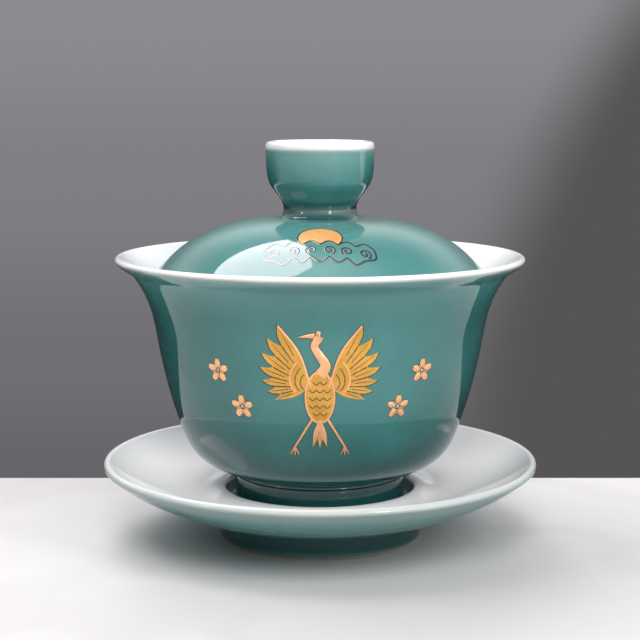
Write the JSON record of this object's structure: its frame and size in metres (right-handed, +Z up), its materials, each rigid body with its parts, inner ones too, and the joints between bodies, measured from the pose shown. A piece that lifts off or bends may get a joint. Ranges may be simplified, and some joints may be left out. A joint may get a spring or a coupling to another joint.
{
  "type": "gaiwan",
  "caption": "Lidded porcelain tea bowl with a flared mouth, a domed lid with a hollow knob, and a shallow saucer whose well locates the bowl's foot.",
  "frame": {"origin": "on the vertical axis, at the underside of the saucer's foot ring", "axes": "+Z up along the common axis of saucer, bowl, lid and knob; -Y towards the decorated front"},
  "size_m": [0.105, 0.105, 0.0959],
  "materials": {
    "saucer_glaze": "gloss",
    "bowl_glaze": "gloss",
    "lid_glaze": "gloss",
    "knob_glaze": "gloss",
    "gold_enamel": "satin",
    "rose_gold_enamel": "satin",
    "sun_enamel": "satin",
    "cloud_lustre": "gloss"
  },
  "bodies": {
    "saucer": {"saucer": "saucer_glaze"},
    "bowl": {"bowl": "bowl_glaze"},
    "lid": {"lid": "lid_glaze", "lid_knob": "knob_glaze"}
  },
  "joints": [
    {"name": "bowl_lift", "type": "slide", "parent": "saucer", "child": "bowl", "axis": [0, 0, 1], "range_m": [0, 0.05]},
    {"name": "lid_lift", "type": "slide", "parent": "bowl", "child": "lid", "axis": [0, 0, 1], "range_m": [0, 0.06]}
  ]
}
